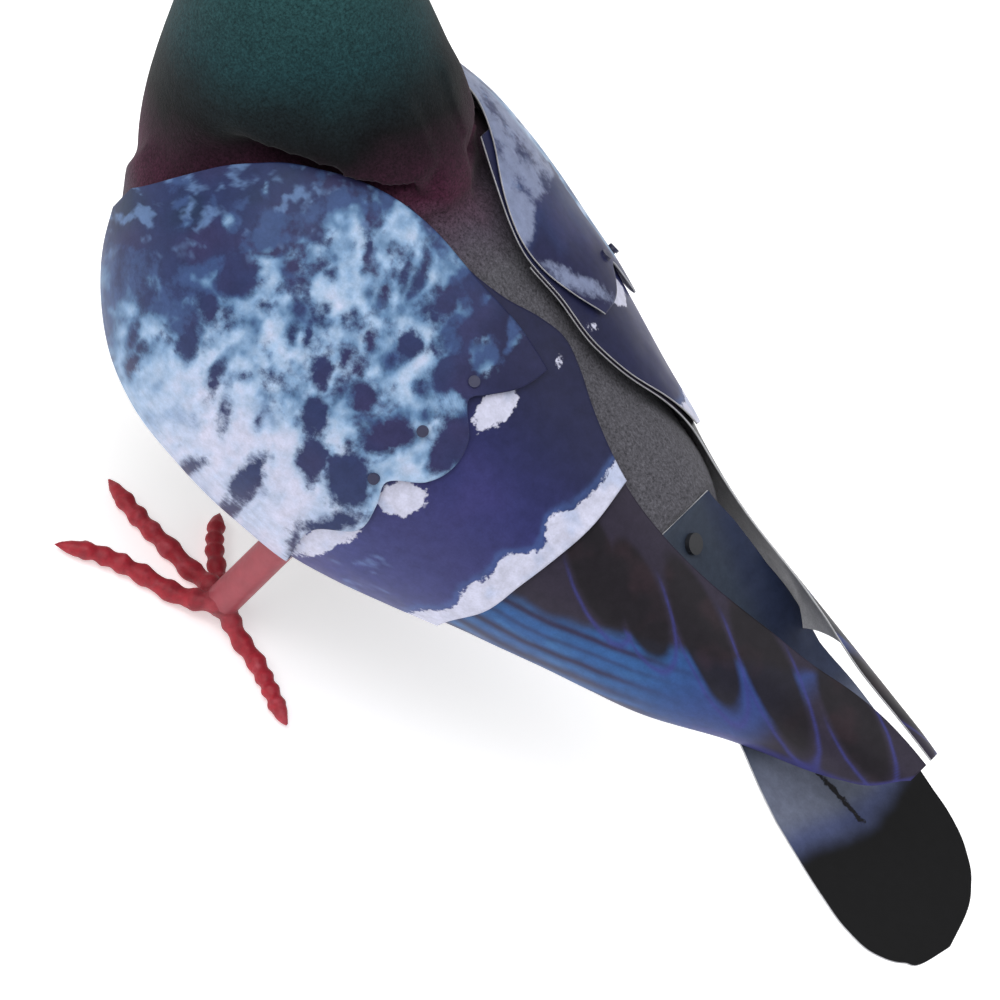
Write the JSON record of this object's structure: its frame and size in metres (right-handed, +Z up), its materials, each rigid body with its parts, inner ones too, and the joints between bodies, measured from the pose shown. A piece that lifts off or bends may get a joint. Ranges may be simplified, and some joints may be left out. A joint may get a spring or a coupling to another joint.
{
  "type": "motion wing decoy",
  "caption": "Life-size artificial pigeon with layered printed wings that flap on two geared shafts, a foam body on two legs, and a belly socket for a stake.",
  "frame": {"origin": "centre of the footprint on the floor, under the middle of the overall length", "axes": "+X towards the beak, +Y the bird's left, +Z up"},
  "size_m": [0.3132, 0.117, 0.2124],
  "materials": {
    "foam_grey": "flocked grey foam",
    "foam_neck": "airbrushed dark green and purple foam",
    "beak_horn": "satin",
    "cere_white": "matt",
    "eye_orange": "gloss",
    "print_covert": "printed satin film",
    "print_secondary": "printed satin film",
    "print_flight": "printed satin film",
    "print_tail": "printed satin film",
    "board_white": "matt",
    "steel": "plain",
    "brass": "turned",
    "chassis_black": "moulded",
    "gear_white": "moulded",
    "circuit_green": "solder mask",
    "leg_red": "soft vinyl",
    "cell_wrap": "shrink sleeve"
  },
  "bodies": {
    "decoy_body": {"body_foam": "foam_grey", "head": "foam_neck", "neck_dowel": "board_white", "upper_beak": "beak_horn", "lower_beak": "beak_horn", "cere": "cere_white", "eye_left": "eye_orange", "eye_right": "eye_orange", "tail_print": "print_tail", "tail_board": "board_white", "rump_screw": "steel", "base_plate": "chassis_black", "rear_plate": "chassis_black", "front_plate": "chassis_black", "shaft_bushings": "brass", "motor_can": "steel", "motor_bracket": "chassis_black", "motor_strap": "chassis_black", "control_board": "circuit_green", "board_chips": "chassis_black", "belly_hatch": "chassis_black", "hatch_screws": "steel", "door_hinge_pin": "steel", "battery_tray": "chassis_black", "battery_cells": "cell_wrap", "battery_contacts": "steel", "switch_body": "chassis_black", "stake_socket": "chassis_black", "leg_wire_left": "steel", "leg_wire_right": "steel", "leg_left": "leg_red", "leg_right": "leg_red", "foot_left": "leg_red", "foot_right": "leg_red"},
    "left_wing": {"left_wing_shaft": "steel", "left_wing_arm": "gear_white", "left_wing_rivets": "gear_white", "left_flight_sheet": "print_flight", "left_secondary_sheet": "print_secondary", "left_covert_sheet": "print_covert", "left_wing_gear": "gear_white", "left_drive_sector": "gear_white"},
    "right_wing": {"right_wing_shaft": "steel", "right_wing_arm": "gear_white", "right_wing_rivets": "gear_white", "right_flight_sheet": "print_flight", "right_secondary_sheet": "print_secondary", "right_covert_sheet": "print_covert", "right_wing_gear": "gear_white"},
    "motor_rotor": {"motor_pinion": "brass", "motor_shaft": "steel"},
    "battery_lid": {"battery_door": "chassis_black"},
    "power_switch": {"switch_slider": "gear_white"}
  },
  "joints": [
    {"name": "left_wing_flap", "type": "hinge", "parent": "decoy_body", "child": "left_wing", "pos_m": [0.0174, 0.009, 0.11342], "axis": [0.9848, 0, 0.1736], "range_deg": [0, 14]},
    {"name": "right_wing_flap", "type": "hinge", "parent": "decoy_body", "child": "right_wing", "pos_m": [0.0174, -0.009, 0.11342], "axis": [0.9848, 0, 0.1736], "range_deg": [-14, 0]},
    {"name": "motor_spin", "type": "hinge", "parent": "decoy_body", "child": "motor_rotor", "pos_m": [0.02226, 0.009, 0.08585], "axis": [0.9848, 0, 0.1736], "range_deg": [-42, 0]},
    {"name": "battery_lid_hinge", "type": "hinge", "parent": "decoy_body", "child": "battery_lid", "pos_m": [0.04001, 0.0128, 0.04278], "axis": [0.9848, 0, 0.1736], "range_deg": [0, 80]},
    {"name": "power_switch_slide", "type": "slide", "parent": "decoy_body", "child": "power_switch", "axis": [0, 1, 0], "range_m": [0, 0.003]}
  ],
  "couplings": [
    {"joint": "right_wing_flap", "follows": "left_wing_flap", "ratio": -1},
    {"joint": "motor_spin", "follows": "left_wing_flap", "ratio": -3}
  ]
}
